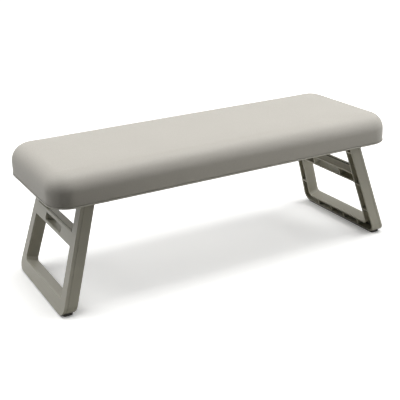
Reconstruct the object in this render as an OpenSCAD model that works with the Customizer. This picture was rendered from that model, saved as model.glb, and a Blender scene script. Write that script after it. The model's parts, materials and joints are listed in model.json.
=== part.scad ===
// Folding manicure hand rest: a padded arm cushion on a moulded base with two folding leg frames.
// Millimetres, +Z up. X runs along the cushion, Y across it, and the floor is at z = 0.

/* [Overall] */
// Length of the cushion
rest_l = 400; // [380:1:440]
// Width of the cushion
rest_w = 145.5; // [140:0.5:150]
// Height of the flat underside above the floor
underside_z = 113; // [104:0.5:120]

/* [Cushion] */
// Height of the cushion from the underside to where its crown starts
pad_h = 32.5; // [31:0.5:40]
// Rise of the crown in the middle of the cushion
pad_crown = 1.8; // [0.5:0.1:4]
// Radius of the cushion's corners seen from above
pad_corner_r = 23.4; // [18:0.1:26]
// Radius of the soft edge between side and top
pad_edge_r = 18.5; // [17:0.5:20]
// Radius of the fold round the lower edge of the sides
pad_fold_r = 0.8; // [0.5:0.1:1.8]
// How far the sides draw in between the corners
pad_draw_in = 0.5; // [0:0.1:1]
// Thickness of the leatherette skin
skin_t = 1.2; // [0.8:0.1:1.4]
// How far the skin's hem reaches in under the tray's rim
hem_grip = 1; // [0.6:0.1:1.2]

/* [Base tray] */
// Height of the tray's deck underside above the bottom cover's underside
pocket_depth = 14; // [13.8:0.1:15]
// Thickness of the deck that carries the foam
deck_t = 3; // [2.5:0.1:4]
// Thickness of the tray's rim
rim_t = 1.6; // [1.4:0.1:2.2]
// Thickness of the tray's inner walls
web_t = 2.4; // [1.6:0.1:3]
// Height of the stiffening ribs under the deck
deck_rib_h = 2.5; // [1:0.1:3]
// Thickness of the stiffening ribs under the deck
deck_rib_t = 1.6; // [1.2:0.1:2.4]
// Thickness of the bottom cover
bottom_t = 2; // [1.6:0.1:2.2]
// How far the bottom cover stands out beyond the cushion as a thin lip
plate_lip = 0.4; // [0.1:0.1:1]
// Thickness of that lip
lip_t = 1; // [0.6:0.1:1.2]

/* [Legs] */
// Lean of each leg outwards from upright, in degrees
leg_splay = 16.7; // [12:0.1:18]
// Thickness of a leg, outer face to inner face
leg_t = 13.5; // [13:0.1:15]
// Share of the length left over beside the two folded legs that lies beyond them, at the ends
leg_end_share = 0.58; // [0.5:0.01:0.62]
// How much wider a leg is on each side at the floor than at the hinge
leg_flare = 10.8; // [6:0.1:12]
// Radius of a leg's lower corners
leg_corner_r = 9.5; // [8:0.1:14]
// Width of a leg's posts at the hinge
post_w = 11.1; // [9:0.1:12]
// Width of a leg's posts at the floor
post_w_foot = 12.3; // [10:0.1:13]
// Thickness of the frame's walls
leg_wall = 2; // [1.6:0.1:2.4]
// Thickness of the frame's ribs
leg_rib = 1.6; // [1.2:0.1:2]
// Thickness of the outer cover plate
cover_t = 2.5; // [2:0.1:3]
// Width of the shadow gap between cover plate and frame
groove_h = 1.3; // [0.6:0.1:1.6]
// Depth of the shadow gap round the leg's outline
groove_d = 0.2; // [0.1:0.1:1]
// Depth of the shadow gap along the top of the cross rail
rail_groove_d = 1.5; // [0.8:0.1:1.6]
// Distance down the leg from the underside to the cover's cross rail
rail_down = 34; // [26:0.5:36]
// Height of the cover's cross rail
rail_h = 13.5; // [12:0.5:18]
// How far the frame's rails stand back behind the cover's edges
rail_setback = 0.3; // [0.2:0.1:1]
// Height of the foot rail on the cover, measured up the leg from the floor end
foot_rail_h = 14.5; // [12:0.5:20]
// Radius of the large window's lower corners
window_r = 4; // [3:0.5:8]
// Length of the finger slot in the cover
slot_l = 45.5; // [30:1:60]
// Height of the finger slot in the cover
slot_h = 7.6; // [5:0.1:8]

/* [Feet] */
// Thickness of the rubber foot strip
strip_t = 2.5; // [2:0.1:3]
// Width of the rubber foot strip
strip_w = 10.4; // [8:0.1:10.6]
// Depth of the seat for the strip in the foot
strip_seat = 1; // [0.5:0.1:1.2]

/* [Hinges] */
// Radius of the steel hinge pins
pin_r = 2; // [1.5:0.1:2.5]
// Height of the hinge line above the underside
hinge_rise = 5; // [4.6:0.1:5.4]
// Distance from a leg's outer face in to the hinge line
hinge_inset = 10.5; // [10:0.1:11]
// Radius of the barrel at the top of each post
barrel_r = 6.2; // [5.6:0.1:6.4]
// Thickness of the bracket's ears
ear_t = 3; // [2.4:0.1:3.6]
// Half width of an ear
ear_r = 5.5; // [4.8:0.1:5.6]
// Thickness of the bracket's plate, which is also the leg's stop
bracket_t = 2.5; // [2:0.1:2.7]
// Thickness of the friction washers
washer_t = 0.4; // [0.3:0.05:0.45]
// Radius of the friction washers
washer_r = 4.5; // [3.8:0.1:5]

/* [Screws] */
// Radius of the screws' shanks
screw_r = 1.45; // [1.2:0.05:1.6]
// Radius of the screws' heads
screw_head_r = 2.8; // [2.4:0.1:3]
// Length of the bottom cover's screws
cover_screw_l = 10; // [8:0.5:12]
// Radius of the bosses that take the bottom cover's screws
boss_r = 3.8; // [3.3:0.1:4.5]

/* [Hidden] */

$fn = 48;

// Sides of the object, as signs of X and Y
LEFT = -1;
RIGHT = 1;
FRONT = -1;
REAR = 1;

// Clearances and overruns
cut_over = 1;
form_gap = 0.3;
stop_gap = 0.3;
run_gap = 0.06;
seat_gap = 0.02;
side_gap = 0.5;
leg_clear = 1.5;
leg_side_clear = 0.2;
tip_clear = 2.5;

// Levels, from the floor up
bottom_top_z = underside_z + bottom_t;
hem_top_z = bottom_top_z + skin_t;
deck_z = underside_z + pocket_depth;
deck_top_z = deck_z + deck_t;
shoulder_z = underside_z + pad_h - pad_edge_r;
shoulder_turn = asin(max(0, deck_top_z - shoulder_z) / (pad_edge_r - skin_t));
hinge_z = underside_z + hinge_rise;
stop_z = deck_z - bracket_t;
heel_z = stop_z - stop_gap;
foot_z = strip_t - strip_seat;

// Hinge line, and the leg's own directions: out across the leg, and down along it
leg_in = hinge_inset - leg_t;
cover_in = hinge_inset - cover_t;
leg_top_down = (hinge_rise + hinge_inset * sin(leg_splay)) / cos(leg_splay);
leg_foot_down = (hinge_z - foot_z + hinge_inset * sin(leg_splay)) / cos(leg_splay);
leg_reach = norm([leg_foot_down + strip_t, hinge_inset]);
heel_reach = norm([heel_z - hinge_z, (hinge_inset - (heel_z - hinge_z) * sin(leg_splay)) / cos(leg_splay)]);

// Places along the rest, from its middle: folded legs, hinge lines and the pockets of the base tray
face_run = hinge_rise * tan(leg_splay) + hinge_inset / cos(leg_splay);
free_l = rest_l / 2 - leg_reach - tip_clear - face_run;
leg_x = rest_l / 2 - free_l * leg_end_share;
hinge_x = leg_x - face_run;
pocket_in_x = hinge_x - leg_reach - tip_clear;
pocket_out_x = max(hinge_x + heel_reach, leg_x) + leg_clear - form_gap;

// Places across the rest: pockets, and the legs that fold into them
tray_inset = pad_edge_r - (pad_edge_r - skin_t) * cos(shoulder_turn) + pad_draw_in + form_gap / 10;
rim_inset = tray_inset + rim_t;
hem_inset = tray_inset + hem_grip;
pocket_half = rest_w / 2 - rim_inset;
leg_half_foot = pocket_half - leg_side_clear;
leg_half_top = leg_half_foot - leg_flare;

// Taper of the legs
taper_z = hinge_z - barrel_r - cut_over;
leg_taper = (leg_half_foot - leg_half_top) / taper_z;
opening_taper = (leg_half_foot - post_w_foot - leg_half_top + post_w) / (leg_foot_down - leg_top_down);

// Steps of a leg's rounded corners
arc_steps = 10;

// Counts of points in the cushion's rings
corner_steps = 5;
edge_steps = 6;
fold_steps = 3;
long_shares = [-0.67, -0.33, 0, 0.33, 0.67];
end_shares = [0];
crown_shares = [0.25, 0.55, 0.8];
crown_corner_share = 0.3;

function unit(v) = v / norm(v);

// Points of the arc that rounds corner p between its neighbours a and b, or p itself where r is zero
function corner_arc(p, a, b, r) =
    let (half = acos(unit(a - p) * unit(b - p)) / 2,
         centre = p + unit(unit(a - p) + unit(b - p)) * r / sin(half),
         start = unit(p + unit(a - p) * r / tan(half) - centre),
         side = [-start[1], start[0]],
         turn = 180 - 2 * half)
    r > 0
        ? [for (k = [0 : arc_steps]) let (t = turn * k / arc_steps) centre + r * (start * cos(t) + side * sin(t))]
        : [p];

// A convex outline, given anticlockwise, with a radius at each corner
module rounded_outline(points, radii) {
    n = len(points);
    polygon([for (i = [0 : n - 1])
        each corner_arc(points[i], points[(i + n - 1) % n], points[(i + 1) % n], radii[i])]);
}

// A rectangle with true arcs at its corners
module rounded_rect(half_x, half_y, r) {
    for (sx = [-1, 1])
        for (sy = [-1, 1])
            translate([sx * (half_x - r), sy * (half_y - r)])
                circle(r = r);
    polygon([[r - half_x, -half_y], [half_x - r, -half_y], [half_x, r - half_y], [half_x, half_y - r],
             [half_x - r, half_y], [r - half_x, half_y], [-half_x, half_y - r], [-half_x, r - half_y]]);
}

// A flat plate between two levels, cut to the cushion's outline drawn in by inset
module plan_plate(inset, z0, z1) {
    translate([0, 0, z0])
        linear_extrude(z1 - z0)
            rounded_rect(rest_l / 2 - inset, rest_w / 2 - inset, pad_corner_r - inset);
}

// One closed ring of the cushion's form
function pad_ring(inset, corner, draw, z) =
    let (hx = rest_l / 2 - inset, hy = rest_w / 2 - inset, cx = hx - corner, cy = hy - corner)
    concat(
        [for (k = [0 : corner_steps]) let (a = -90 + 90 * k / corner_steps)
            [cx + corner * cos(a), -cy + corner * sin(a), z]],
        [for (s = end_shares) [hx - draw * (1 - s * s), s * cy, z]],
        [for (k = [0 : corner_steps]) let (a = 90 * k / corner_steps)
            [cx + corner * cos(a), cy + corner * sin(a), z]],
        [for (s = long_shares) [-s * cx, hy - draw * (1 - s * s), z]],
        [for (k = [0 : corner_steps]) let (a = 90 + 90 * k / corner_steps)
            [-cx + corner * cos(a), cy + corner * sin(a), z]],
        [for (s = end_shares) [-hx + draw * (1 - s * s), -s * cy, z]],
        [for (k = [0 : corner_steps]) let (a = 180 + 90 * k / corner_steps)
            [-cx + corner * cos(a), -cy + corner * sin(a), z]],
        [for (s = long_shares) [s * cx, -hy + draw * (1 - s * s), z]]);

// Ring at angle a round the soft edge, on a surface that lies depth inside the skin's outside
function edge_ring(a, depth) =
    pad_ring(pad_edge_r - (pad_edge_r - depth) * cos(a),
             max(pad_corner_r - pad_edge_r * (1 - cos(a)), pad_corner_r * crown_corner_share) - depth,
             pad_draw_in * sin(2 * a),
             shoulder_z + (pad_edge_r - depth) * sin(a));

// Ring on the crown, at a share of the way from the soft edge to the middle
function crown_ring(share, depth) =
    pad_ring(pad_edge_r + (rest_w / 2 - pad_edge_r) * share,
             pad_corner_r * crown_corner_share - depth,
             0,
             underside_z + pad_h - depth + pad_crown * (1 - (1 - share) * (1 - share)));

// Ring at angle a round the fold under the lower edge of the sides
function fold_ring(a) =
    let (inset = pad_fold_r * (1 - sin(a)))
    pad_ring(inset, pad_corner_r - inset, 0, bottom_top_z + pad_fold_r * (1 - cos(a)));

// Rings from angle a0 up the soft edge and on over the crown
function top_rings(a0, depth) =
    concat([for (k = [0 : edge_steps]) edge_ring(a0 + (90 - a0) * k / edge_steps, depth)],
           [for (s = crown_shares) crown_ring(s, depth)]);

function reversed(list) = [for (i = [len(list) - 1 : -1 : 0]) list[i]];

// Stacked rings closed into one solid, with a cap on the first ring and on the last,
// each fanned out from a point half way round a corner
module ring_solid(rings) {
    m = len(rings[0]);
    n = len(rings);
    hub = round(corner_steps / 2);
    last = (n - 1) * m;
    polyhedron(
        points = [for (ring = rings) each ring],
        faces = concat(
            [for (k = [1 : m - 2]) [hub, (hub + k) % m, (hub + k + 1) % m]],
            [for (r = [0 : n - 2]) for (k = [0 : m - 1]) let (j = (k + 1) % m)
                each [[r * m + k, (r + 1) * m + k, (r + 1) * m + j], [r * m + k, (r + 1) * m + j, r * m + j]]],
            [for (k = [1 : m - 2]) [last + hub, last + (hub + k + 1) % m, last + (hub + k) % m]]),
        convexity = 4);
}

// Leatherette skin: over the foam, down the sides and in under the tray as a hem
module cushion_cover() {
    color("#a7a39b")
        ring_solid(concat(
            reversed(top_rings(0, skin_t)),
            [pad_ring(skin_t, pad_corner_r - skin_t, 0, hem_top_z),
             pad_ring(hem_inset, pad_corner_r - hem_inset, 0, hem_top_z),
             pad_ring(hem_inset, pad_corner_r - hem_inset, 0, bottom_top_z)],
            [for (k = [0 : fold_steps]) fold_ring(90 * k / fold_steps)],
            top_rings(0, 0)));
}

// Foam block on the deck, with the cushion's crown
module foam_pad() {
    depth = skin_t + form_gap;
    start = asin(max(0, deck_top_z - shoulder_z) / (pad_edge_r - depth));
    color("#e8dfc6")
        ring_solid(concat(
            [if (deck_top_z < shoulder_z - form_gap) pad_ring(depth, pad_corner_r - depth, 0, deck_top_z)],
            top_rings(start, depth)));
}

// Places of the bottom cover's screws
screw_in_x = pocket_in_x / 2 + boss_r;
screw_in_y = pocket_half - 3 * boss_r;
screw_end_x = (pocket_out_x + web_t + rest_l / 2 - rim_inset) / 2;
screw_end_y = pocket_half - pad_corner_r;
cover_screws = [for (sx = [-1, 1]) for (sy = [-1, 1]) each
    [[sx * screw_in_x / 2, sy * screw_in_y], [sx * screw_end_x, sy * screw_end_y]]];

// Places of a bracket's screws, between the posts
bracket_screw_x = ear_r + screw_head_r / 2;
bracket_screw_y = leg_half_top - post_w - ear_t - side_gap - 2 * screw_head_r;
bracket_screws = [for (sx = [-1, 1]) for (sy = [-1, 1])
    [hinge_x + sx * bracket_screw_x, sy * bracket_screw_y]];
bracket_half_x = bracket_screw_x + 1.5 * screw_head_r;

// Open space under the deck for a folded leg
module pocket_space(z0, z1) {
    translate([pocket_in_x, -pocket_half, z0])
        cube([pocket_out_x - pocket_in_x, 2 * pocket_half, z1 - z0]);
}

// Everything on both sides of the rest, from one side's shape
module both_sides() {
    children();
    mirror([1, 0, 0]) children();
}

// Stiffening ribs under the deck, over a folded leg
module deck_ribs() {
    rib_end_x = hinge_x - bracket_half_x - deck_rib_t;
    for (sy = [-1, 0, 1])
        translate([pocket_in_x - cut_over, sy * pocket_half * 0.6 - deck_rib_t / 2, deck_z - deck_rib_h])
            cube([rib_end_x - pocket_in_x + cut_over, deck_rib_t, deck_rib_h + deck_t / 2]);
    for (share = [0.3, 0.65])
        translate([pocket_in_x + (rib_end_x - pocket_in_x) * share - deck_rib_t / 2,
                   -pocket_half - rim_t / 2, deck_z - deck_rib_h])
            cube([deck_rib_t, 2 * pocket_half + rim_t, deck_rib_h + deck_t / 2]);
}

// Moulded base: rim, deck, pocket walls, ribs and screw bosses
module base_tray() {
    end_in_x = pocket_out_x + web_t;
    mid_x = pocket_in_x - web_t;
    color("#8f8b82")
        difference() {
            union() {
                difference() {
                    plan_plate(tray_inset, hem_top_z, deck_top_z);
                    plan_plate(rim_inset, hem_top_z - cut_over, deck_z);
                }
                both_sides() {
                    for (x = [pocket_in_x - web_t, pocket_out_x])
                        translate([x, -pocket_half, bottom_top_z])
                            cube([web_t, 2 * pocket_half, deck_top_z - bottom_top_z - deck_t / 2]);
                    deck_ribs();
                }
                translate([-mid_x, -web_t / 2, bottom_top_z])
                    cube([2 * mid_x, web_t, deck_top_z - bottom_top_z - deck_t / 2]);
                for (p = cover_screws)
                    translate([p[0], p[1], bottom_top_z])
                        cylinder(r = boss_r, h = deck_top_z - bottom_top_z - deck_t / 2);
            }
            for (p = cover_screws)
                translate([p[0], p[1], bottom_top_z - cut_over])
                    cylinder(r = screw_r + seat_gap, h = cover_screw_l - bottom_t + 2 * cut_over);
            for (side = [-1, 1])
                for (p = bracket_screws)
                    translate([side * p[0], p[1], deck_z - cut_over])
                        cylinder(r = screw_r + seat_gap, h = deck_t / 2 + 2 * cut_over);
        }
}

// Cone for a countersunk head that is flush with the underside
module countersink(gap) {
    cylinder(r1 = screw_head_r + gap, r2 = screw_r + gap, h = screw_head_r - screw_r);
}

// Flat cover under the tray, with an opening under each pocket
module bottom_cover() {
    color("#b3afa6")
        difference() {
            union() {
                plan_plate(-plate_lip, bottom_top_z - lip_t, bottom_top_z);
                plan_plate(skin_t, underside_z, bottom_top_z - lip_t / 2);
            }
            both_sides()
                pocket_space(underside_z - cut_over, bottom_top_z + cut_over);
            for (p = cover_screws)
                translate([p[0], p[1], underside_z]) {
                    countersink(seat_gap);
                    translate([0, 0, -cut_over])
                        cylinder(r = screw_r + seat_gap, h = bottom_t + 2 * cut_over);
                }
        }
}

module bottom_cover_screws() {
    color("#c9c9c6")
        for (p = cover_screws)
            translate([p[0], p[1], underside_z]) {
                countersink(0);
                cylinder(r = screw_r, h = cover_screw_l);
            }
}

// Turned so that its children lie across the rest, along Y
module across(y0, y1) {
    translate([0, y1, 0])
        rotate([90, 0, 0])
            linear_extrude(y1 - y0)
                children();
}

// The two ears round one post: spans of y on the rear side
barrel_y0 = leg_half_top - post_w;
barrel_y1 = leg_half_top;
ear_spans = [[barrel_y0 - side_gap - ear_t, barrel_y0 - side_gap],
             [barrel_y1 + side_gap, barrel_y1 + side_gap + ear_t]];

// Bracket under the deck: stop plate and four ears that hold the pins
module hinge_bracket() {
    plate_half_y = ear_spans[1][1];
    difference() {
        union() {
            translate([hinge_x - bracket_half_x, -plate_half_y, stop_z])
                cube([2 * bracket_half_x, 2 * plate_half_y, bracket_t]);
            for (side = [-1, 1])
                for (span = ear_spans)
                    translate([hinge_x, 0, hinge_z])
                        across(min(side * span[0], side * span[1]), max(side * span[0], side * span[1])) {
                            circle(r = ear_r);
                            translate([-ear_r, 0])
                                square([2 * ear_r, stop_z - hinge_z + bracket_t / 2]);
                        }
        }
        translate([hinge_x, 0, hinge_z])
            across(-plate_half_y - cut_over, plate_half_y + cut_over)
                circle(r = pin_r + seat_gap);
        for (p = bracket_screws)
            translate([p[0], p[1], stop_z - cut_over])
                cylinder(r = screw_r + seat_gap, h = bracket_t + 2 * cut_over);
    }
}

module left_hinge_bracket() {
    color("#77736b")
        mirror([1, 0, 0])
            hinge_bracket();
}

module right_hinge_bracket() {
    color("#77736b")
        hinge_bracket();
}

// Pan head screws from below through the bracket into the deck
module bracket_screw_set() {
    head_h = screw_r;
    for (p = bracket_screws)
        translate([p[0], p[1], stop_z]) {
            translate([0, 0, -head_h])
                cylinder(r = screw_head_r, h = head_h);
            cylinder(r = screw_r, h = bracket_t + deck_t / 2);
        }
}

module left_bracket_screws() {
    color("#c9c9c6")
        mirror([1, 0, 0])
            bracket_screw_set();
}

module right_bracket_screws() {
    color("#c9c9c6")
        bracket_screw_set();
}

// Friction washers on both sides of each post's barrel
module washer_set() {
    rest_gap = (side_gap - washer_t) / 2;
    for (side = [-1, 1])
        for (y = [ear_spans[0][1] + rest_gap, barrel_y1 + rest_gap])
            translate([hinge_x, 0, hinge_z])
                across(min(side * y, side * (y + washer_t)), max(side * y, side * (y + washer_t)))
                    difference() {
                        circle(r = washer_r);
                        circle(r = pin_r + run_gap);
                    }
}

module left_hinge_washers() {
    color("#e4e2da")
        mirror([1, 0, 0])
            washer_set();
}

module right_hinge_washers() {
    color("#e4e2da")
        washer_set();
}

// Steel pin through one post's barrel and both of its ears
module hinge_pin(side, end) {
    y0 = ear_spans[0][0];
    y1 = ear_spans[1][1];
    color("#b9babb")
        translate([side * hinge_x, 0, hinge_z])
            across(min(end * y0, end * y1), max(end * y0, end * y1))
                circle(r = pin_r);
}

module left_front_hinge_pin() {
    hinge_pin(LEFT, FRONT);
}

module left_rear_hinge_pin() {
    hinge_pin(LEFT, REAR);
}

module right_front_hinge_pin() {
    hinge_pin(RIGHT, FRONT);
}

module right_rear_hinge_pin() {
    hinge_pin(RIGHT, REAR);
}

// Half width across a leg's outside, at height z
function leg_half(z) = leg_half_top + leg_taper * max(0, taper_z - z);

// Outline of a leg seen along X, drawn in by inset, from the foot up to the heel
module leg_outline(inset) {
    low = foot_z + inset;
    high = heel_z + cut_over;
    rounded_outline(
        [[-leg_half(low) + inset, low], [leg_half(low) - inset, low],
         [leg_half_top - inset, taper_z], [leg_half_top - inset, high],
         [-leg_half_top + inset, high], [-leg_half_top + inset, taper_z]],
        [leg_corner_r - inset, leg_corner_r - inset, 0, 0, 0, 0]);
}

// The outline as a solid, long enough to be cut by the leg's own faces
module leg_column(inset) {
    translate([hinge_x - leg_t * 2, 0, 0])
        rotate([90, 0, 90])
            linear_extrude(leg_x - hinge_x + leg_t * 2 + underside_z)
                leg_outline(inset);
}

// Puts a shape drawn in a leg's own plane on the leg: y across, second axis up the leg from the hinge
module on_leg(u0, u1) {
    translate([hinge_x, 0, hinge_z])
        rotate([0, -leg_splay, 0])
            translate([u0, 0, 0])
                rotate([90, 0, 90])
                    linear_extrude(u1 - u0)
                        children();
}

// The space between two faces of the leg, from far below the foot up to the hinge
module leg_slab(u0, u1) {
    on_leg(u0, u1)
        translate([-rest_w, -leg_foot_down - leg_t])
            square([2 * rest_w, leg_foot_down + leg_t]);
}

// Half width of the opening between the posts, at a distance down the leg from the hinge
function opening_half(down) = leg_half_top - post_w + opening_taper * max(0, down - leg_top_down);

// Opening between the posts from one distance down the leg to another, grown by grow
module post_opening(down0, down1, grow, r0, r1) {
    bend = down0 < leg_top_down ? [[opening_half(0) + grow, -leg_top_down]] : [];
    rounded_outline(
        concat([[-opening_half(down1) - grow, -down1 - grow], [opening_half(down1) + grow, -down1 - grow]],
               bend,
               [[opening_half(down0) + grow, -down0 + grow], [-opening_half(down0) - grow, -down0 + grow]],
               [for (p = bend) [-p[0], p[1]]]),
        concat([r1, r1], [for (p = bend) 0], [r0, r0], [for (p = bend) 0]));
}

// Distances down the leg from the hinge
rail_top = leg_top_down + rail_down;
rail_foot = rail_top + rail_h;
window_foot = leg_foot_down - foot_rail_h;
window_top_r = window_r / 4;
rail_groove_half = opening_half(rail_top) - leg_rib;
cover_end_z = bottom_top_z + cut_over;

// Notch above the cross rail, and window below it, through the cover or the frame
module leg_openings(u0, u1, back) {
    on_leg(u0, u1) {
        post_opening(-2 * barrel_r, rail_top + back, 0, 0, window_top_r);
        post_opening(rail_foot - back, window_foot, 0, window_top_r, window_r);
    }
}

// Solid top of the leg before the notch parts its posts: barrels round the pins, and the heel under the stop
module post_tops() {
    heel_top = heel_z - hinge_z;
    heel_low = cover_end_z + form_gap - hinge_z;
    translate([hinge_x, 0, hinge_z])
        across(-leg_half_top, leg_half_top) {
            circle(r = barrel_r);
            polygon([[0, heel_low],
                     [0, heel_top],
                     [(hinge_inset - heel_top * sin(leg_splay)) / cos(leg_splay), heel_top],
                     [(hinge_inset - heel_low * sin(leg_splay)) / cos(leg_splay), heel_low]]);
        }
}

// Ribs across the open inner side of the frame
post_rib_downs = [7, 48, 82];
rail_rib_share = 0.5;
foot_rib_shares = [0.22, 0.7];

module frame_ribs(u0, u1) {
    on_leg(u0, u1) {
        for (down = post_rib_downs)
            translate([-rest_w, -leg_top_down - down - leg_rib / 2])
                square([2 * rest_w, leg_rib]);
        for (side = [-1, 1])
            for (share = foot_rib_shares)
                translate([side * opening_half(window_foot) * share - leg_rib / 2, -leg_foot_down - leg_t])
                    square([leg_rib, leg_foot_down + leg_t - window_foot]);
    }
}

// Ribbed frame of a leg, open towards the middle of the rest
module leg_frame() {
    inner = leg_in - cut_over;
    outer = cover_in + cut_over;
    difference() {
        union() {
            intersection() {
                leg_column(0);
                leg_slab(leg_in, cover_in);
                translate([-rest_l, -rest_w, -cut_over])
                    cube([2 * rest_l, 2 * rest_w, hinge_z + cut_over]);
            }
            post_tops();
        }
        leg_openings(-barrel_r - cut_over, hinge_inset + cut_over, rail_setback);
        // Channels of the posts and the foot rail
        difference() {
            intersection() {
                leg_column(leg_wall);
                leg_slab(inner, outer);
                translate([-rest_l, -rest_w, -cut_over])
                    cube([2 * rest_l, 2 * rest_w, hinge_z - barrel_r + cut_over]);
            }
            on_leg(inner - cut_over, outer + cut_over)
                post_opening(-2 * barrel_r, window_foot, leg_wall, 0, window_r + leg_wall);
            frame_ribs(inner - cut_over, outer + cut_over);
        }
        // Channel of the cross rail, between its two ribs and the posts
        difference() {
            on_leg(inner, outer)
                post_opening(rail_top + rail_setback + leg_wall, rail_foot - rail_setback - leg_wall, 0, 0, 0);
            on_leg(inner - cut_over, outer + cut_over)
                for (side = [-1, 1])
                    translate([side * opening_half(rail_top) * rail_rib_share - leg_rib / 2, -rail_foot])
                        square([leg_rib, rail_h]);
        }
        // Shadow gap next to the cover plate, round the outline and along the cross rail
        difference() {
            leg_slab(cover_in - groove_h, outer);
            leg_column(groove_d);
            translate([-rest_l, -rest_w, hinge_z - barrel_r])
                cube([2 * rest_l, 2 * rest_w, rest_l]);
        }
        on_leg(cover_in - groove_h, outer)
            translate([-rail_groove_half, -rail_top - rail_groove_d])
                square([2 * rail_groove_half, rail_groove_d + cut_over]);
        // Bores for the pins
        translate([hinge_x, 0, hinge_z])
            across(-rest_w, rest_w)
                circle(r = pin_r + run_gap);
        // Seat of the rubber strip
        foot_strip_block(cut_over, strip_t);
    }
}

// Where a leg's foot meets the floor
foot_mid_x = hinge_x + (hinge_z - foot_z / 2) * tan(leg_splay) + (leg_in + cover_in) / 2 / cos(leg_splay);
strip_end_rise = strip_seat * 0.8;
strip_half = leg_half_foot - leg_corner_r + sqrt(strip_end_rise * (2 * leg_corner_r - strip_end_rise));

module foot_strip_block(below, above) {
    translate([foot_mid_x, 0, -below])
        linear_extrude(below + above)
            rounded_rect(strip_w / 2, strip_half, strip_w / 4);
}

// Cover plate over a leg's outer side, with the finger slot in its cross rail
module leg_cover() {
    difference() {
        intersection() {
            leg_column(0);
            leg_slab(cover_in, hinge_inset);
            translate([-rest_l, -rest_w, -cut_over])
                cube([2 * rest_l, 2 * rest_w, cover_end_z + cut_over]);
        }
        leg_openings(cover_in - cut_over, hinge_inset + cut_over, 0);
        on_leg(cover_in - cut_over, hinge_inset + cut_over)
            translate([0, -(rail_top + rail_foot) / 2])
                rounded_rect(slot_l / 2, slot_h / 2, slot_h / 5);
    }
}

module left_leg_frame() {
    color("#8a867d")
        mirror([1, 0, 0])
            leg_frame();
}

module right_leg_frame() {
    color("#8a867d")
        leg_frame();
}

module left_leg_cover() {
    color("#9d9990")
        mirror([1, 0, 0])
            leg_cover();
}

module right_leg_cover() {
    color("#9d9990")
        leg_cover();
}

module left_foot_strip() {
    color("#2d2b29")
        mirror([1, 0, 0])
            foot_strip_block(0, strip_t);
}

module right_foot_strip() {
    color("#2d2b29")
        foot_strip_block(0, strip_t);
}

cushion_cover();
foam_pad();
base_tray();
bottom_cover();
bottom_cover_screws();
left_hinge_bracket();
right_hinge_bracket();
left_bracket_screws();
right_bracket_screws();
left_hinge_washers();
right_hinge_washers();
left_front_hinge_pin();
left_rear_hinge_pin();
right_front_hinge_pin();
right_rear_hinge_pin();
left_leg_frame();
right_leg_frame();
left_leg_cover();
right_leg_cover();
left_foot_strip();
right_foot_strip();
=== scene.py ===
# %% [markdown]
# # Folding manicure hand rest: a lesson in small steps
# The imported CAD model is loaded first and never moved. It carries every sub-part at its true place and
# size, in metres with the floor at z = 0, so what follows only dresses it: a soft form for the cushion,
# moulded edges for the plastic, and a finish for each surface.

# %% Load the frame
import json
import math

import bmesh
import bpy
from mathutils import Matrix, Vector

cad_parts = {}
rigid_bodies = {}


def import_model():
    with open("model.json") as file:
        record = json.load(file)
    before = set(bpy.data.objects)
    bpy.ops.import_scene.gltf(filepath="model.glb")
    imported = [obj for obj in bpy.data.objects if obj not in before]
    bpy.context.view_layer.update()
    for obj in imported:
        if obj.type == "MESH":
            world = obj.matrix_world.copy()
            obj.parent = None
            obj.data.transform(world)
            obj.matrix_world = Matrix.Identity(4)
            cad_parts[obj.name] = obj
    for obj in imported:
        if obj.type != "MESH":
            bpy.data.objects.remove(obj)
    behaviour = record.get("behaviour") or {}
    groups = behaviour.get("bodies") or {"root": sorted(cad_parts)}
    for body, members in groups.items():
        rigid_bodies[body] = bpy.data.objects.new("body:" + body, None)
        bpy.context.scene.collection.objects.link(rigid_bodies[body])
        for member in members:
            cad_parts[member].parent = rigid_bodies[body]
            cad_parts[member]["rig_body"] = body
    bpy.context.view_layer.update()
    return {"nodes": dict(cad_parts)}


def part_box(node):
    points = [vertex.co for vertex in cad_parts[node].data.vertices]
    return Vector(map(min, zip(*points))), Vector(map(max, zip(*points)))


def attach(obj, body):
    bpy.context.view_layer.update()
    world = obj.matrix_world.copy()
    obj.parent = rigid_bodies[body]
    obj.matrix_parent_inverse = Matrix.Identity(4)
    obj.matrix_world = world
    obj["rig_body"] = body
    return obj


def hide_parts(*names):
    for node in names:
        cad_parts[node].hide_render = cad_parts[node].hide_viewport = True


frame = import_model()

MM = 0.001

# %% [markdown]
# ## Helpers for every finish
# Colours are given as sRGB hex values, the way a paint chart gives them, but a shader works in linear
# light, so one function turns the first into the second. Another adds a node with its settings and links,
# which keeps each finish short enough to read as a recipe. Two small ones open and end a material.

# %% Colour and node helpers
def linear(hex_colour):
    """An sRGB hex colour as linear RGBA."""
    parts = [int(hex_colour[i : i + 2], 16) / 255 for i in (1, 3, 5)]
    return [*(c / 12.92 if c <= 0.04045 else ((c + 0.055) / 1.055) ** 2.4 for c in parts), 1.0]


def add_node(tree, kind, settings=None, **inputs):
    """Adds a node. settings are its properties. inputs are its sockets by name, with _ for a space, or by
    number after a _, each with a value or a link."""
    node = tree.nodes.new(kind)
    for name, value in (settings or {}).items():
        setattr(node, name, value)
    for name, value in inputs.items():
        socket = node.inputs[int(name[1:])] if name[1:].isdigit() else node.inputs[name.replace("_", " ")]
        if isinstance(value, bpy.types.NodeSocket):
            tree.links.new(value, socket)
        else:
            socket.default_value = value
    return node


def new_material(name):
    """A material with an empty tree: (the material, its tree, object coordinates in metres)."""
    material = bpy.data.materials.new(name)
    material.use_nodes = True
    tree = material.node_tree
    tree.nodes.clear()
    return material, tree, add_node(tree, "ShaderNodeTexCoord").outputs["Object"]


def finish_with(tree, shader):
    """Links a shader to the material's output."""
    add_node(tree, "ShaderNodeOutputMaterial", Surface=shader.outputs[0])


print("white is", linear("#ffffff"), "and mid grey", [round(c, 3) for c in linear("#808080")])

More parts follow.
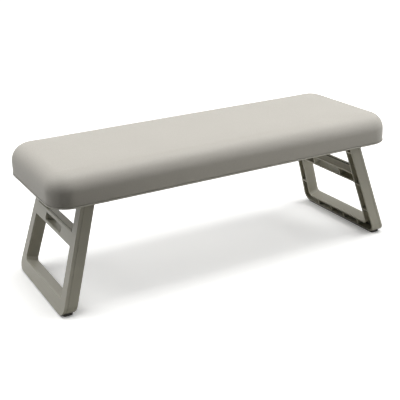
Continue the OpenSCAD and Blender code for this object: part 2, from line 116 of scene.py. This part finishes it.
# %% [markdown]
# ## The camera
# The view is from the front left and a little above. Its place and turn were solved from the corners of the
# cushion and the feet, against the sizes of the CAD model, so the real lens and distance come back: a 74 mm
# lens on a 36 mm sensor, 0.9 m from the rest.

# %% Camera
CAMERA_AT = Vector((-410.66, -752.503, 393.184)) * MM
YAW, PITCH, ROLL = (math.radians(a) for a in (-28.132, -21.184, -1.774))
SENSOR = 36
FOCAL_PIXELS, PICTURE_PIXELS = 821.017, 400
NEAREST, FARTHEST = 0.05, 30

camera = bpy.data.objects.new("camera", bpy.data.cameras.new("camera"))
bpy.context.scene.collection.objects.link(camera)
bpy.context.scene.camera = camera
forward = Vector((-math.sin(YAW) * math.cos(PITCH), math.cos(YAW) * math.cos(PITCH), math.sin(PITCH)))
right = Vector((math.cos(YAW), math.sin(YAW), 0))
up = right.cross(forward)
turned_right = right * math.cos(ROLL) + up * math.sin(ROLL)
turned_up = up * math.cos(ROLL) - right * math.sin(ROLL)
turn = Matrix((turned_right, turned_up, -forward)).transposed().to_4x4()
camera.matrix_world = Matrix.Translation(CAMERA_AT) @ turn
camera.data.sensor_width = SENSOR
camera.data.lens = FOCAL_PIXELS * SENSOR / PICTURE_PIXELS
camera.data.clip_start = NEAREST
camera.data.clip_end = FARTHEST
print("lens", round(camera.data.lens, 2), "mm at", [round(c, 3) for c in CAMERA_AT])

# %% [markdown]
# ## Floor, world and lamps
# The object stands on a white sweep that has no edge or horizon. A camera ray sees the floor as nearly lit
# from within, so it stays white and still keeps the soft shadows under the feet. Any other ray sees a
# board. It is pale between the legs, where it sends light up into the ribs, and dark further out, so the
# floor doesn't flood the cushion's sides with light. The floor's own glow stands for a bright room, so it
# fades where feet and rails shut the floor in within a hand's breadth.
# Where the lamps stand was read from the object itself: the top is bright and even, the near side is dim
# and grows lighter to the right, and the left end is lighter than the near side. A soft box overhead and a
# high one on the right do most of the work, three weak ones on the left light the end and the leg below it,
# and two small ones at the front right lift the near side from that end.

# %% Floor
def seen_directly(tree):
    """1 for rays from the camera, reflections and clear glass, 0 for light that lands on the object."""
    path = add_node(tree, "ShaderNodeLightPath")
    both = add_node(tree, "ShaderNodeMath", {"operation": "MAXIMUM"},
                    _0=path.outputs["Is Camera Ray"], _1=path.outputs["Is Glossy Ray"])
    return add_node(tree, "ShaderNodeMath", {"operation": "MAXIMUM"},
                    _0=both.outputs[0], _1=path.outputs["Is Transmission Ray"]).outputs[0]


FLOOR_SIZE = 16
GLOW_FROM, GLOW_TO = 0.25, 1.2
GLOW_NEAR, GLOW_FAR = 0.57, 1.0
CONTACT_REACH = 0.1
PALE_TO, DARK_FROM = 0.12, 0.3

mesh = bpy.data.meshes.new("floor")
bm = bmesh.new()
bmesh.ops.create_grid(bm, x_segments=1, y_segments=1, size=FLOOR_SIZE / 2)
bm.to_mesh(mesh)
bm.free()
floor = bpy.data.objects.new("floor", mesh)
bpy.context.scene.collection.objects.link(floor)

paper, tree, place = new_material("white paper sweep")
distance = add_node(tree, "ShaderNodeVectorMath", {"operation": "LENGTH"}, _0=place)
reach = add_node(tree, "ShaderNodeMapRange", {"interpolation_type": "SMOOTHSTEP"},
                 Value=distance.outputs["Value"], From_Min=GLOW_FROM, From_Max=GLOW_TO,
                 To_Min=GLOW_NEAR, To_Max=GLOW_FAR)
sky = add_node(tree, "ShaderNodeAmbientOcclusion", {"samples": 16}, Distance=CONTACT_REACH)
strength = add_node(tree, "ShaderNodeMath", {"operation": "MULTIPLY"}, _0=reach.outputs["Result"],
                    _1=sky.outputs["AO"])
glow = add_node(tree, "ShaderNodeEmission", Color=linear("#ffffff"), Strength=strength.outputs[0])
white = add_node(tree, "ShaderNodeBsdfDiffuse", Color=linear("#f4f4f2"))
lit = add_node(tree, "ShaderNodeAddShader", _0=glow.outputs[0], _1=white.outputs[0])
outwards = add_node(tree, "ShaderNodeMapRange", {"interpolation_type": "SMOOTHSTEP"},
                    Value=distance.outputs["Value"], From_Min=PALE_TO, From_Max=DARK_FROM)
greys = add_node(tree, "ShaderNodeMix", {"data_type": "RGBA"}, Factor=outwards.outputs["Result"],
                 _6=linear("#e8e4d4"), _7=linear("#302e27"))
board = add_node(tree, "ShaderNodeBsdfDiffuse", Color=greys.outputs["Result"])
either = add_node(tree, "ShaderNodeMixShader", _0=seen_directly(tree), _1=board.outputs[0],
                  _2=lit.outputs[0])
finish_with(tree, either)
floor.data.materials.append(paper)
print("floor", FLOOR_SIZE, "m across")

# %% World and lamps
WORLD_LIGHT, WORLD_SEEN = 0.01, 1.0

world = bpy.data.worlds.new("studio")
bpy.context.scene.world = world
world.use_nodes = True
tree = world.node_tree
tree.nodes.clear()
dim = add_node(tree, "ShaderNodeBackground", Color=linear("#ffffff"), Strength=WORLD_LIGHT)
bright = add_node(tree, "ShaderNodeBackground", Color=linear("#ffffff"), Strength=WORLD_SEEN)
mixed = add_node(tree, "ShaderNodeMixShader", _0=seen_directly(tree), _1=dim.outputs[0],
                 _2=bright.outputs[0])
add_node(tree, "ShaderNodeOutputWorld", Surface=mixed.outputs[0])


def soft_lamp(name, at, towards, width, height, power):
    """A rectangular soft box: places and sizes in metres, power in watts."""
    lamp = bpy.data.objects.new(name, bpy.data.lights.new(name, "AREA"))
    lamp.data.shape = "RECTANGLE"
    lamp.data.size = width
    lamp.data.size_y = height
    lamp.data.energy = power
    lamp.location = at
    lamp.rotation_euler = (Vector(towards) - Vector(at)).to_track_quat("-Z", "Y").to_euler()
    bpy.context.scene.collection.objects.link(lamp)


REST_MIDDLE = (0, 0, 0.1)
RIGHT_HALF, RIGHT_QUARTER = (0.1, 0, 0.1), (0.15, 0, 0.1)
soft_lamp("overhead_soft_box", (0, 0, 1.6), REST_MIDDLE, 1.2, 0.8, 14.4)
soft_lamp("high_right_soft_box", (1.0, -0.1, 1.3), REST_MIDDLE, 0.8, 0.6, 6)
soft_lamp("left_back_soft_box", (-0.85, 0.8, 1.1), REST_MIDDLE, 0.9, 0.6, 3.2)
soft_lamp("left_soft_box", (-1.0, 0.1, 1.3), REST_MIDDLE, 0.8, 0.6, 2.3)
soft_lamp("low_left_soft_box", (-1.2, 0.4, 0.9), REST_MIDDLE, 0.7, 0.5, 2)
soft_lamp("near_right_soft_box", (0.75, -0.45, 0.6), RIGHT_HALF, 0.5, 0.4, 1.0)
soft_lamp("low_right_soft_box", (0.6, -0.5, 0.3), RIGHT_QUARTER, 0.3, 0.3, 0.85)

bpy.context.scene.view_settings.view_transform = "Standard"

# %% [markdown]
# ## Finish: embossed leatherette
# The cushion wears polyurethane-coated fabric. It leaves a steel roller with a pebbled grain, about a
# millimetre from pebble to pebble, and with a matte top coat. A cell pattern gives the pebbles. Its cells
# are pushed about by noise first, because straight-edged cells look like glass mosaic. The creases between
# them are a touch darker and rougher, and a slow drift of tone keeps the large top from looking like
# painted card.

# %% Leatherette
LEATHERETTE = "#c8c4bb"
GRAIN = 1.1 * MM
GRAIN_BEND = GRAIN * 0.9
GRAIN_DEPTH = 0.06 * MM
PORE = 0.3 * MM
TONE_PATCH = 70 * MM


def leatherette_material():
    """Pebbles with darker, rougher creases between them, and pores as fine as a needle's point."""
    material, tree, place = new_material("embossed PU leatherette, warm grey")
    push = add_node(tree, "ShaderNodeTexNoise", Vector=place, Scale=0.7 / GRAIN, Detail=2.0)
    bent = add_node(tree, "ShaderNodeVectorMath", {"operation": "MULTIPLY_ADD"},
                    _0=push.outputs["Color"], _1=(GRAIN_BEND,) * 3, _2=place)
    cells = add_node(tree, "ShaderNodeTexVoronoi", {"feature": "DISTANCE_TO_EDGE"},
                     Vector=bent.outputs[0], Scale=1 / GRAIN)
    pebbles = add_node(tree, "ShaderNodeMapRange", {"interpolation_type": "SMOOTHSTEP"},
                       Value=cells.outputs["Distance"], From_Max=0.28)
    pores = add_node(tree, "ShaderNodeTexNoise", Vector=place, Scale=1 / PORE, Detail=3.0)
    height = add_node(tree, "ShaderNodeMath", {"operation": "MULTIPLY_ADD"},
                      _0=pores.outputs["Fac"], _1=0.25, _2=pebbles.outputs["Result"])
    bump = add_node(tree, "ShaderNodeBump", Height=height.outputs[0], Strength=0.55, Distance=GRAIN_DEPTH)
    patches = add_node(tree, "ShaderNodeTexNoise", Vector=place, Scale=1 / TONE_PATCH, Detail=3.0)
    tone = add_node(tree, "ShaderNodeMapRange", Value=patches.outputs["Fac"], To_Min=0.965, To_Max=1.03)
    crease = add_node(tree, "ShaderNodeMapRange", Value=pebbles.outputs["Result"], To_Min=0.93, To_Max=1.0)
    shade = add_node(tree, "ShaderNodeMath", {"operation": "MULTIPLY"}, _0=tone.outputs[0],
                     _1=crease.outputs[0])
    colour = add_node(tree, "ShaderNodeVectorMath", {"operation": "SCALE"}, _0=linear(LEATHERETTE)[:3],
                      Scale=shade.outputs[0])
    rough = add_node(tree, "ShaderNodeMapRange", Value=pebbles.outputs["Result"], To_Min=0.57, To_Max=0.47)
    shader = add_node(tree, "ShaderNodeBsdfPrincipled", Base_Color=colour.outputs[0],
                      Roughness=rough.outputs[0], IOR=1.5, Normal=bump.outputs[0])
    finish_with(tree, shader)
    return material


leatherette = leatherette_material()
print(leatherette.name, "grain", GRAIN / MM, "mm")

# %% [markdown]
# ## Finish: moulded plastic
# Base, covers and legs are ABS, and the brackets are nylon with glass fibre, all from steel moulds. A
# mould's walls are spark-eroded, which gives a fine, even, silky texture without direction. The real grain
# is too fine to show from here, so it is drawn coarser. Thick and thin places cool at different rates, so
# the gloss drifts a little over a long part. Shade is painted into the colour at seams and the feet of the
# ribs: it is darker where the surface is shut in within a few millimetres. One recipe serves them all, each
# with its own colour and gloss.

# %% Moulded plastic
SPARK_GRAIN = 0.45 * MM
SPARK_DEPTH = 0.03 * MM
GLOSS_PATCH = 45 * MM
GLOSS_DRIFT = 0.05
PAINTED_SHADE_REACH = 5 * MM


def moulded_material(name, hex_colour, roughness):
    """A plastic with a silky grain, drifting gloss and painted shade in its seams."""
    material, tree, place = new_material(name)
    spark = add_node(tree, "ShaderNodeTexNoise", Vector=place, Scale=1 / SPARK_GRAIN, Detail=2.0,
                     Roughness=0.6)
    bump = add_node(tree, "ShaderNodeBump", Height=spark.outputs["Fac"], Strength=0.35,
                    Distance=SPARK_DEPTH)
    flow = add_node(tree, "ShaderNodeTexNoise", Vector=place, Scale=1 / GLOSS_PATCH, Detail=2.0)
    gloss = add_node(tree, "ShaderNodeMapRange", Value=flow.outputs["Fac"],
                     To_Min=roughness - GLOSS_DRIFT, To_Max=roughness + GLOSS_DRIFT)
    tone = add_node(tree, "ShaderNodeMapRange", Value=flow.outputs["Fac"], To_Min=0.97, To_Max=1.03)
    # Painted shade: the colour darkens where the surface is shut in within a few millimetres, at seams and
    # rib feet.
    crevice_occlusion = add_node(tree, "ShaderNodeAmbientOcclusion", {"samples": 8}, Distance=PAINTED_SHADE_REACH)
    painted_shade_factor = add_node(tree, "ShaderNodeMapRange", Value=crevice_occlusion.outputs["AO"],
                     From_Min=0.25, From_Max=0.9, To_Min=0.3)
    shade = add_node(tree, "ShaderNodeMath", {"operation": "MULTIPLY"}, _0=tone.outputs[0],
                     _1=painted_shade_factor.outputs[0])
    colour = add_node(tree, "ShaderNodeVectorMath", {"operation": "SCALE"}, _0=linear(hex_colour)[:3],
                      Scale=shade.outputs[0])
    shader = add_node(tree, "ShaderNodeBsdfPrincipled", Base_Color=colour.outputs[0],
                      Roughness=gloss.outputs[0], IOR=1.53, Normal=bump.outputs[0])
    finish_with(tree, shader)
    return material


leg_abs = moulded_material("spark-textured ABS, leg frame", "#b7b4a6", 0.46)
plate_abs = moulded_material("spark-textured ABS, leg cover", "#bfbcae", 0.42)
base_abs = moulded_material("spark-textured ABS, base tray", "#b4b0a6", 0.5)
bottom_abs = moulded_material("spark-textured ABS, bottom cover", "#d6d3c8", 0.46)
bracket_nylon = moulded_material("glass-filled nylon, hinge bracket", "#88857c", 0.55)
print("plastics:", [m.name for m in (leg_abs, plate_abs, base_abs, bottom_abs, bracket_nylon)])

# %% [markdown]
# ## Finish: rubber, steel, nylon and foam
# These are small or hidden pieces, and each still looks like what it is. Rubber is dark and dull with a
# fine bloom. Zinc plating has a faint cloudy crystal pattern. A ground pin has fine rings round it, because
# it turned against the wheel. Nylon lets some light in. Cut foam is a field of open cells.

# %% Rubber
BLOOM_SPOT = 1.2 * MM


def rubber_material():
    """Dark and dull, with a faint cloudy bloom."""
    material, tree, place = new_material("moulded rubber, charcoal")
    bloom = add_node(tree, "ShaderNodeTexNoise", Vector=place, Scale=1 / BLOOM_SPOT, Detail=4.0)
    colour = add_node(tree, "ShaderNodeMix", {"data_type": "RGBA"}, Factor=bloom.outputs["Fac"],
                      _6=linear("#3c3a37"), _7=linear("#4b4945"))
    bump = add_node(tree, "ShaderNodeBump", Height=bloom.outputs["Fac"], Strength=0.5, Distance=0.05 * MM)
    shader = add_node(tree, "ShaderNodeBsdfPrincipled", Base_Color=colour.outputs["Result"], Roughness=0.78,
                      IOR=1.52, Normal=bump.outputs[0])
    finish_with(tree, shader)
    return material


rubber = rubber_material()
print(rubber.name)

# %% Zinc-plated and ground steel
ZINC_CRYSTAL = 0.8 * MM
GRINDING_LINE, LINES_CLOSER = 2 * MM, 12


def zinc_material():
    """Bright, with a cloudy crystal pattern."""
    material, tree, place = new_material("zinc-plated steel")
    cloud = add_node(tree, "ShaderNodeTexVoronoi", Vector=place, Scale=1 / ZINC_CRYSTAL)
    colour = add_node(tree, "ShaderNodeMix", {"data_type": "RGBA"}, Factor=cloud.outputs["Distance"],
                      _6=linear("#c6c9ca"), _7=linear("#b2b6b9"))
    rough = add_node(tree, "ShaderNodeMapRange", Value=cloud.outputs["Distance"], To_Min=0.28, To_Max=0.42)
    shader = add_node(tree, "ShaderNodeBsdfPrincipled", Base_Color=colour.outputs["Result"], Metallic=1.0,
                      Roughness=rough.outputs[0])
    finish_with(tree, shader)
    return material


def ground_steel_material():
    """Bright, with fine rings round a pin that lies along Y."""
    material, tree, place = new_material("ground steel")
    rings = add_node(tree, "ShaderNodeMapping", Vector=place, Scale=(1, LINES_CLOSER, 1))
    lines = add_node(tree, "ShaderNodeTexNoise", Vector=rings.outputs[0], Scale=1 / GRINDING_LINE,
                     Detail=3.0)
    bump = add_node(tree, "ShaderNodeBump", Height=lines.outputs["Fac"], Strength=0.3, Distance=0.02 * MM)
    rough = add_node(tree, "ShaderNodeMapRange", Value=lines.outputs["Fac"], To_Min=0.2, To_Max=0.34)
    shader = add_node(tree, "ShaderNodeBsdfPrincipled", Base_Color=linear("#bfc1c2"), Metallic=1.0,
                      Roughness=rough.outputs[0], Normal=bump.outputs[0])
    finish_with(tree, shader)
    return material


zinc = zinc_material()
ground_steel = ground_steel_material()
print(zinc.name, "and", ground_steel.name)

# %% Nylon and foam
NYLON_GRAIN = 0.5 * MM
FOAM_CELL = 0.9 * MM


def nylon_material():
    """Milky, and lit a little from within."""
    material, tree, place = new_material("natural nylon")
    grain = add_node(tree, "ShaderNodeTexNoise", Vector=place, Scale=1 / NYLON_GRAIN, Detail=2.0)
    rough = add_node(tree, "ShaderNodeMapRange", Value=grain.outputs["Fac"], To_Min=0.42, To_Max=0.55)
    shader = add_node(tree, "ShaderNodeBsdfPrincipled", Base_Color=linear("#e6e3da"),
                      Roughness=rough.outputs[0], IOR=1.53,
                      Subsurface_Weight=0.15, Subsurface_Scale=0.5 * MM)
    finish_with(tree, shader)
    return material


def foam_material():
    """Open cells, with shade painted dark inside them and their walls pale."""
    material, tree, place = new_material("cut polyurethane foam")
    cells = add_node(tree, "ShaderNodeTexVoronoi", Vector=place, Scale=1 / FOAM_CELL)
    # Painted shade: the hollows of the cells are darker than their walls.
    colour = add_node(tree, "ShaderNodeMix", {"data_type": "RGBA"}, Factor=cells.outputs["Distance"],
                      _6=linear("#cfc3a1"), _7=linear("#efe7cf"))
    bump = add_node(tree, "ShaderNodeBump", Height=cells.outputs["Distance"], Strength=0.8,
                    Distance=0.3 * MM)
    shader = add_node(tree, "ShaderNodeBsdfPrincipled", Base_Color=colour.outputs["Result"], Roughness=0.95,
                      Normal=bump.outputs[0])
    finish_with(tree, shader)
    return material


nylon = nylon_material()
foam = foam_material()
print(nylon.name, "and", foam.name)

# %% [markdown]
# ## The cushion's form
# The real cushion is a foam block, shaped by the skin that is pulled over it: a long rounded bar with a
# soft shoulder, a slight crown, and long sides that draw in a little between the corners. It starts as a
# block whose upright edges and then top edges are rounded by a bevel, which gives clean quads round each
# corner. Cuts across and along give the flat spans enough points to bend. The block is lower than the
# finished cushion by nearly all of the crown, which is still to rise. A bevel of several edges leaves its
# faces in another order at each run, and a cloth simulation feels that, so at the end they are put in the
# order of their points.

# %% Sizes of the cushion
low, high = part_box("cushion_cover")
CROWN = 1.4 * MM
CROWN_SHARE = 0.96
PAD_SIZE = Vector((high.x - low.x, high.y - low.y, high.z - CROWN * CROWN_SHARE - low.z))
CORNER_ROUND = 23.4 * MM
EDGE_ROUND = 18.5 * MM
FLAT_X, FLAT_Y = PAD_SIZE.x / 2 - CORNER_ROUND, PAD_SIZE.y / 2 - CORNER_ROUND
print("cushion", [round(c / MM, 1) for c in PAD_SIZE], "mm, from z", round(low.z / MM, 1))

# %% The block, its rounded edges and its cuts
ROUND_STEPS = 12
CUT_EVERY = 7 * MM
SNAP = 0.01 * MM
MOST_POINTS = 100_000


def cut_across(bm, axis, place):
    """Cuts every face by a plane square to an axis."""
    across = Vector((0, 0, 0))
    across[axis] = 1
    bmesh.ops.bisect_plane(bm, geom=[*bm.verts, *bm.edges, *bm.faces], dist=SNAP,
                           plane_co=across * place, plane_no=across)


def by_points(face):
    """One number from the three lowest point numbers of a face, which no other face has."""
    a, b, c = sorted(v.index for v in face.verts)[:3]
    return (a * MOST_POINTS + b) * MOST_POINTS + c


def cushion_block(inset):
    """The cushion's form before its crown rises, closed below. inset draws in its sides and its top."""
    bm = bmesh.new()
    bmesh.ops.create_cube(bm, size=1)
    size = PAD_SIZE - Vector((2 * inset, 2 * inset, inset))
    bmesh.ops.scale(bm, vec=size, verts=bm.verts)
    bmesh.ops.translate(bm, vec=(0, 0, low.z + size.z / 2), verts=bm.verts)
    upright = [e for e in bm.edges if abs(e.verts[0].co.z - e.verts[1].co.z) > size.z / 2]
    bmesh.ops.bevel(bm, geom=upright, affect="EDGES", offset=CORNER_ROUND - inset,
                    offset_type="OFFSET", segments=ROUND_STEPS, profile=0.5, material=-1)
    top = max(bm.faces, key=lambda f: f.calc_center_median().z)
    bmesh.ops.bevel(bm, geom=list(top.edges), affect="EDGES", offset=EDGE_ROUND - inset,
                    offset_type="OFFSET", segments=ROUND_STEPS, profile=0.5, material=-1)
    for axis, flat in ((0, FLAT_X), (1, FLAT_Y)):
        count = math.ceil(flat / CUT_EVERY)
        for k in range(-count, count + 1):
            cut_across(bm, axis, flat * k / count)
    cut_across(bm, 2, low.z + (PAD_SIZE.z - EDGE_ROUND) / 2)
    bm.verts.index_update()
    bm.faces.sort(key=by_points)
    return bm


block = cushion_block(0)
print("block:", len(block.verts), "points,", len(block.faces), "faces")

# %% [markdown]
# ## The skin swells and draws in
# A cloth simulation of the sheet, clamped round its lower edge and pushed from inside, shows where a
# cushion wants to swell: most along the middle of the top, little near its edges. Only the outward part of
# each move counts, because the sheet can't sink into the foam. Firm foam gives way less the further it is
# stretched, so the rise levels off at the height of the real crown. The sheet's pull then draws the sides
# in between the corners, a small move by formula.

# %% Swelling by cloth simulation
CLAMPED_BELOW = low.z + 1 * MM
PUSH = 4
STIFFNESS = 0.5
STEPS_A_FRAME = 8
LAST_FRAME = 20


def free_swelling(bm):
    """How far each point of a skin moves outwards when it is pushed from inside and clamped below."""
    mesh = bpy.data.meshes.new("trial_skin")
    bm.to_mesh(mesh)
    trial = bpy.data.objects.new("trial_skin", mesh)
    bpy.context.scene.collection.objects.link(trial)
    clamped = trial.vertex_groups.new(name="clamped")
    clamped.add([v.index for v in mesh.vertices if v.co.z < CLAMPED_BELOW], 1, "REPLACE")
    cloth = trial.modifiers.new("skin", "CLOTH")
    cloth.settings.vertex_group_mass = clamped.name
    cloth.settings.quality = STEPS_A_FRAME
    cloth.settings.bending_stiffness = STIFFNESS
    cloth.settings.use_pressure = True
    cloth.settings.uniform_pressure_force = PUSH
    cloth.settings.effector_weights.gravity = 0
    for number in range(1, LAST_FRAME + 1):
        bpy.context.scene.frame_set(number)
    swollen = trial.evaluated_get(bpy.context.evaluated_depsgraph_get()).data
    pairs = zip(swollen.vertices, mesh.vertices)
    moves = [max(0.0, (new.co - old.co).dot(old.normal)) for new, old in pairs]
    bpy.data.objects.remove(trial)
    bpy.context.scene.frame_set(1)
    return moves


swelling = free_swelling(block)
farthest = max(swelling)
print("free swelling", round(farthest / MM, 1), "mm")

# %% Swollen and drawn in
FOAM_GIVES = 5 * MM
DRAW_IN = 0.5 * MM
WAIST_TOP = PAD_SIZE.z * 0.95
SIDE_BEGINS = 0.98


def allowed(free):
    """What the foam leaves of a free move: CROWN at the farthest."""
    if not free:
        return 0
    return CROWN * (1 - math.exp(-free / FOAM_GIVES)) / (1 - math.exp(-farthest / FOAM_GIVES))


def settle(bm):
    """Moves the points of a cushion block, made by the same steps as the first, as its tight skin does."""
    bm.normal_update()
    for v, free in zip(bm.verts, swelling):
        x, y, z = v.co
        waist = math.sin(math.pi * min(1, max(0, (z - low.z) / WAIST_TOP)))
        v.co.z += allowed(free) * max(0, v.normal.z)
        if abs(y) > FLAT_Y * SIDE_BEGINS:
            v.co.y -= math.copysign(DRAW_IN * waist * max(0, 1 - (x / FLAT_X) ** 2), y)
        if abs(x) > FLAT_X * SIDE_BEGINS:
            v.co.x -= math.copysign(DRAW_IN * waist * max(0, 1 - (y / FLAT_Y) ** 2), x)


settle(block)
print("top of the crown at z", round(max(v.co.z for v in block.verts) / MM, 2), "mm")

# %% [markdown]
# ## The leatherette cover
# The cover is one sheet, pulled down the sides and folded in under the tray's rim, where it is clamped. The
# block's underside becomes that fold: an inset makes its width, and the middle is taken out. Solidify then
# gives the sheet its 1.2 mm inwards, so the outside keeps the size that the CAD model has. Two helpers for
# new pieces come first.

# %% Two helpers for new pieces
def new_piece(name, bm, material, body):
    """Turns a bmesh into an object that rides on a body and wears the given finish."""
    mesh = bpy.data.meshes.new(name)
    bm.to_mesh(mesh)
    bm.free()
    mesh.materials.append(material)
    piece = bpy.data.objects.new(name, mesh)
    bpy.context.scene.collection.objects.link(piece)
    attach(piece, body)
    return piece


def smooth_faces(bm):
    """Lets light run over all faces without a break."""
    for face in bm.faces:
        face.smooth = True


# %% Cover
SKIN = 1.2 * MM
HEM = 3.0 * MM
FOLD_ROUND = 0.8 * MM
DOWN = -0.9

rim = [e for e in block.edges if sum(f.normal.z < DOWN for f in e.link_faces) == 1]
bmesh.ops.dissolve_faces(block, faces=[f for f in block.faces if f.normal.z < DOWN], use_verts=False)
underside = max(block.faces, key=lambda f: -f.normal.z * f.calc_area())
bmesh.ops.inset_region(block, faces=[underside], thickness=HEM, use_even_offset=True)
bmesh.ops.delete(block, geom=[underside], context="FACES")
bmesh.ops.bevel(block, geom=[e for e in rim if e.is_valid], affect="EDGES", offset=FOLD_ROUND,
                offset_type="OFFSET", segments=3, profile=0.5, material=-1)
smooth_faces(block)
cover = new_piece("leatherette_cover", block, leatherette, "rest")
thick = cover.modifiers.new("sheet thickness", "SOLIDIFY")
thick.thickness = SKIN
thick.offset = -1
thick.use_even_offset = True
fine = cover.modifiers.new("fine surface", "SUBSURF")
fine.levels = fine.render_levels = 1
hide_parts("cushion_cover")
print("cover:", len(cover.data.polygons), "faces before its modifiers")

# %% [markdown]
# ## The foam core
# Inside the cover is a block of cut foam that lies on the tray's deck. It has the cushion's own form, drawn
# in by the sheet's thickness and a hair more, and it is sawn off flat where the deck carries it.

# %% Foam core
DECK_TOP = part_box("base_tray")[1].z
ROOM_FOR_SKIN = SKIN + 0.3 * MM

foam_block = cushion_block(ROOM_FOR_SKIN)
settle(foam_block)
cut = bmesh.ops.bisect_plane(foam_block, geom=[*foam_block.verts, *foam_block.edges, *foam_block.faces],
                             plane_co=(0, 0, DECK_TOP), plane_no=(0, 0, 1), clear_inner=True)
sawn = [g for g in cut["geom_cut"] if isinstance(g, bmesh.types.BMEdge)]
bmesh.ops.contextual_create(foam_block, geom=sawn)
bmesh.ops.recalc_face_normals(foam_block, faces=foam_block.faces)
for face in foam_block.faces:
    face.smooth = face.normal.z > DOWN
foam_core = new_piece("foam_core", foam_block, foam, "rest")
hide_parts("foam_pad")
print("foam core:", len(foam_core.data.polygons), "faces, on the deck at z", round(DECK_TOP / MM, 1), "mm")

# %% [markdown]
# ## Moulded edges
# A moulded part has no knife edges: the tool's corners leave a small radius, and that radius catches a line
# of light along every post and rib. The CAD parts are exact but sharp. Each one is copied, its loose
# triangles are joined and flat regions cleared, and then only its sharp edges are bevelled. Weighted
# normals keep the large faces flat in the light.

# %% Softened copies of the CAD parts
SHARP = math.radians(38)
FLAT_WITHIN = math.radians(0.6)
SAME_POINT = 0.004 * MM


def softened(node, radius, material):
    """Puts a copy with rounded edges in the place of a CAD node."""
    bm = bmesh.new()
    bm.from_mesh(frame["nodes"][node].data)
    bmesh.ops.remove_doubles(bm, verts=bm.verts, dist=SAME_POINT)
    bmesh.ops.dissolve_limit(bm, angle_limit=FLAT_WITHIN, verts=bm.verts, edges=bm.edges,
                             delimit={"NORMAL"})
    bmesh.ops.dissolve_degenerate(bm, edges=bm.edges, dist=SAME_POINT)
    sharp = [e for e in bm.edges if len(e.link_faces) == 2 and e.calc_face_angle() > SHARP]
    bmesh.ops.bevel(bm, geom=sharp, affect="EDGES", offset=radius, offset_type="OFFSET", segments=2,
                    profile=0.5, material=-1, clamp_overlap=True)
    smooth_faces(bm)
    for edge in bm.edges:
        edge.smooth = len(edge.link_faces) == 2 and edge.calc_face_angle() < SHARP
    body = frame["nodes"][node]["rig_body"]
    piece = new_piece(f"{node}_moulding", bm, material, body)
    weighted = piece.modifiers.new("flat faces stay flat", "WEIGHTED_NORMAL")
    weighted.keep_sharp = True
    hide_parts(node)
    print(piece.name, "on", body, "-", len(piece.data.polygons), "faces")


for side in ("left", "right"):
    softened(f"{side}_leg_frame", 0.35 * MM, leg_abs)
    softened(f"{side}_leg_cover", 0.5 * MM, plate_abs)
    softened(f"{side}_foot_strip", 0.4 * MM, rubber)
    softened(f"{side}_hinge_bracket", 0.3 * MM, bracket_nylon)
softened("bottom_cover", 0.4 * MM, bottom_abs)
softened("base_tray", 0.3 * MM, base_abs)

# %% [markdown]
# ## Screws, pins and washers
# The small turned parts are already right as solids, so they keep their CAD meshes and only get their
# metals and nylon.

# %% Finishes of the small parts
for node, piece in frame["nodes"].items():
    if node.endswith("screws"):
        finish = zinc
    elif node.endswith("pin"):
        finish = ground_steel
    elif node.endswith("washers"):
        finish = nylon
    else:
        continue
    piece.data.materials.clear()
    piece.data.materials.append(finish)
    print(node, "->", finish.name)
